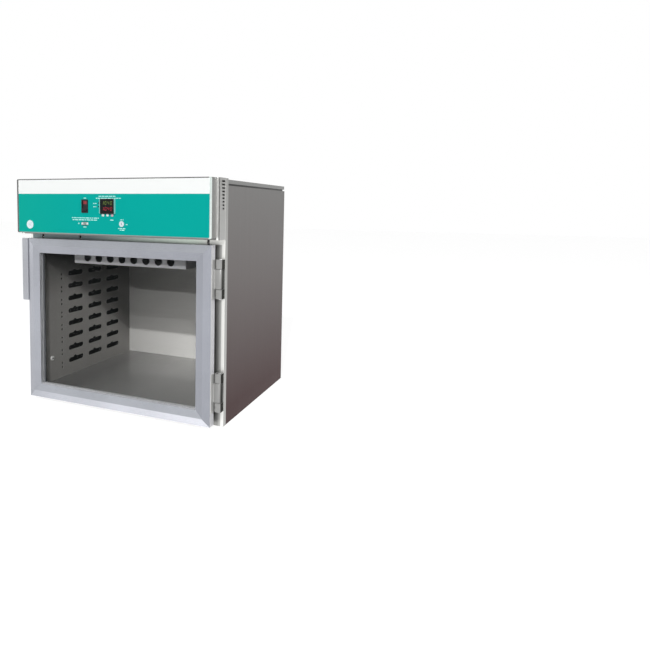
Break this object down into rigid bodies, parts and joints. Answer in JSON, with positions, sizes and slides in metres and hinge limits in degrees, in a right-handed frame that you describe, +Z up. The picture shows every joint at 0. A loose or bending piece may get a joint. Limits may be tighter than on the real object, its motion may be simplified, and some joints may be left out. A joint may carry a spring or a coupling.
{
  "type": "warming cabinet",
  "caption": "Countertop warming cabinet: insulated steel box with a slotted heated chamber, a hinged double-glazed door and a vented control head above it.",
  "frame": {"origin": "on the surface that the feet stand on, below the middle of the whole cabinet's box", "axes": "+X to the right as seen from the front, +Y to the back, +Z up; the door and the controls face -Y"},
  "size_m": [0.61, 0.5278, 0.6285],
  "materials": {
    "outer_steel": "brushed stainless steel",
    "frame_steel": "bright satin stainless steel",
    "liner_steel": "satin stainless steel",
    "plated_steel": "zinc plated steel",
    "insulation": "black faced fibre board",
    "heater_steel": "heat darkened steel tube",
    "motor_paint": "black satin paint",
    "wheel_aluminium": "plain aluminium",
    "bright_steel": "bright turned steel",
    "white_plastic": "satin white plastic",
    "cream_plastic": "cream moulding",
    "overlay_film": "satin printed film, teal below a white band",
    "light_plastic": "light grey moulding",
    "dark_window": "smoked display window",
    "pink_plastic": "pale pink moulding",
    "black_plastic": "black moulding",
    "red_lens": "translucent red lens",
    "lock_chrome": "polished plating",
    "door_aluminium": "satin anodised aluminium",
    "door_glass": "clear tempered glass",
    "black_rubber": "black rubber",
    "glazing_rubber": "light grey rubber",
    "handle_steel": "satin stainless steel",
    "hinge_steel": "satin plated steel"
  },
  "bodies": {
    "cabinet": {"left_side_panel": "outer_steel", "right_side_panel": "outer_steel", "back_panel": "outer_steel", "top_cover": "outer_steel", "head_housing": "outer_steel", "head_cover": "outer_steel", "front_frame": "frame_steel", "liner_left": "liner_steel", "liner_right": "liner_steel", "liner_floor": "liner_steel", "liner_ceiling": "liner_steel", "liner_back": "liner_steel", "air_duct": "liner_steel", "base_pan": "plated_steel", "component_deck": "plated_steel", "panel_screws": "plated_steel", "insulation_left": "insulation", "insulation_right": "insulation", "insulation_back": "insulation", "insulation_top": "insulation", "insulation_floor": "insulation", "heater_element": "heater_steel", "blower_motor": "motor_paint", "temperature_probe": "bright_steel", "hinge_pins": "bright_steel", "probe_bushing": "white_plastic", "limit_thermostat": "cream_plastic", "terminal_block": "cream_plastic", "front_overlay": "overlay_film", "controller_case": "light_plastic", "controller_window": "dark_window", "rocker_housing": "black_plastic", "data_socket": "black_plastic", "power_inlet": "black_plastic", "relay": "black_plastic", "key_switch_body": "lock_chrome", "lock_body": "lock_chrome", "feet": "black_rubber", "hinge_frame_leaves": "hinge_steel"},
    "door": {"door_left_stile": "door_aluminium", "door_right_stile": "door_aluminium", "door_top_rail": "door_aluminium", "door_bottom_rail": "door_aluminium", "outer_glass": "door_glass", "inner_glass": "door_glass", "glass_spacer": "door_aluminium", "glazing_seal": "glazing_rubber", "door_gasket": "black_rubber", "door_handle": "handle_steel", "hinge_door_leaves": "hinge_steel"},
    "rocker": {"rocker_paddle": "black_plastic", "rocker_lens": "red_lens"},
    "key_left": {"controller_key_left": "white_plastic"},
    "key_middle": {"controller_key_middle": "white_plastic"},
    "key_right": {"controller_key_right": "pink_plastic"},
    "key_switch": {"key_switch_plug": "lock_chrome"},
    "door_lock": {"lock_plug": "lock_chrome", "lock_cam": "bright_steel"},
    "blower": {"blower_shaft": "bright_steel", "blower_wheel": "wheel_aluminium"}
  },
  "joints": [
    {"name": "door_hinge", "type": "hinge", "parent": "cabinet", "child": "door", "pos_m": [0.2975, -0.2096, 0.241], "axis": [0, 0, 1], "range_deg": [0, 135]},
    {"name": "rocker_tilt", "type": "hinge", "parent": "cabinet", "child": "rocker", "pos_m": [-0.067, -0.2567, 0.557], "axis": [1, 0, 0], "range_deg": [0, 16]},
    {"name": "left_key_press", "type": "slide", "parent": "cabinet", "child": "key_left", "axis": [0, 1, 0], "range_m": [0, 0.0008], "stiffness_N_per_m": 2000},
    {"name": "middle_key_press", "type": "slide", "parent": "cabinet", "child": "key_middle", "axis": [0, 1, 0], "range_m": [0, 0.0008], "stiffness_N_per_m": 2000},
    {"name": "right_key_press", "type": "slide", "parent": "cabinet", "child": "key_right", "axis": [0, 1, 0], "range_m": [0, 0.0008], "stiffness_N_per_m": 2000},
    {"name": "key_switch_turn", "type": "hinge", "parent": "cabinet", "child": "key_switch", "pos_m": [0.047, -0.2599, 0.513], "axis": [0, 1, 0], "range_deg": [0, 90]},
    {"name": "door_lock_turn", "type": "hinge", "parent": "cabinet", "child": "door_lock", "pos_m": [-0.249, -0.2599, 0.506], "axis": [0, 1, 0], "range_deg": [0, 90]},
    {"name": "blower_spin", "type": "hinge", "parent": "cabinet", "child": "blower", "pos_m": [0, 0.0289, 0.41], "axis": [0, 0, 1], "continuous": true}
  ]
}
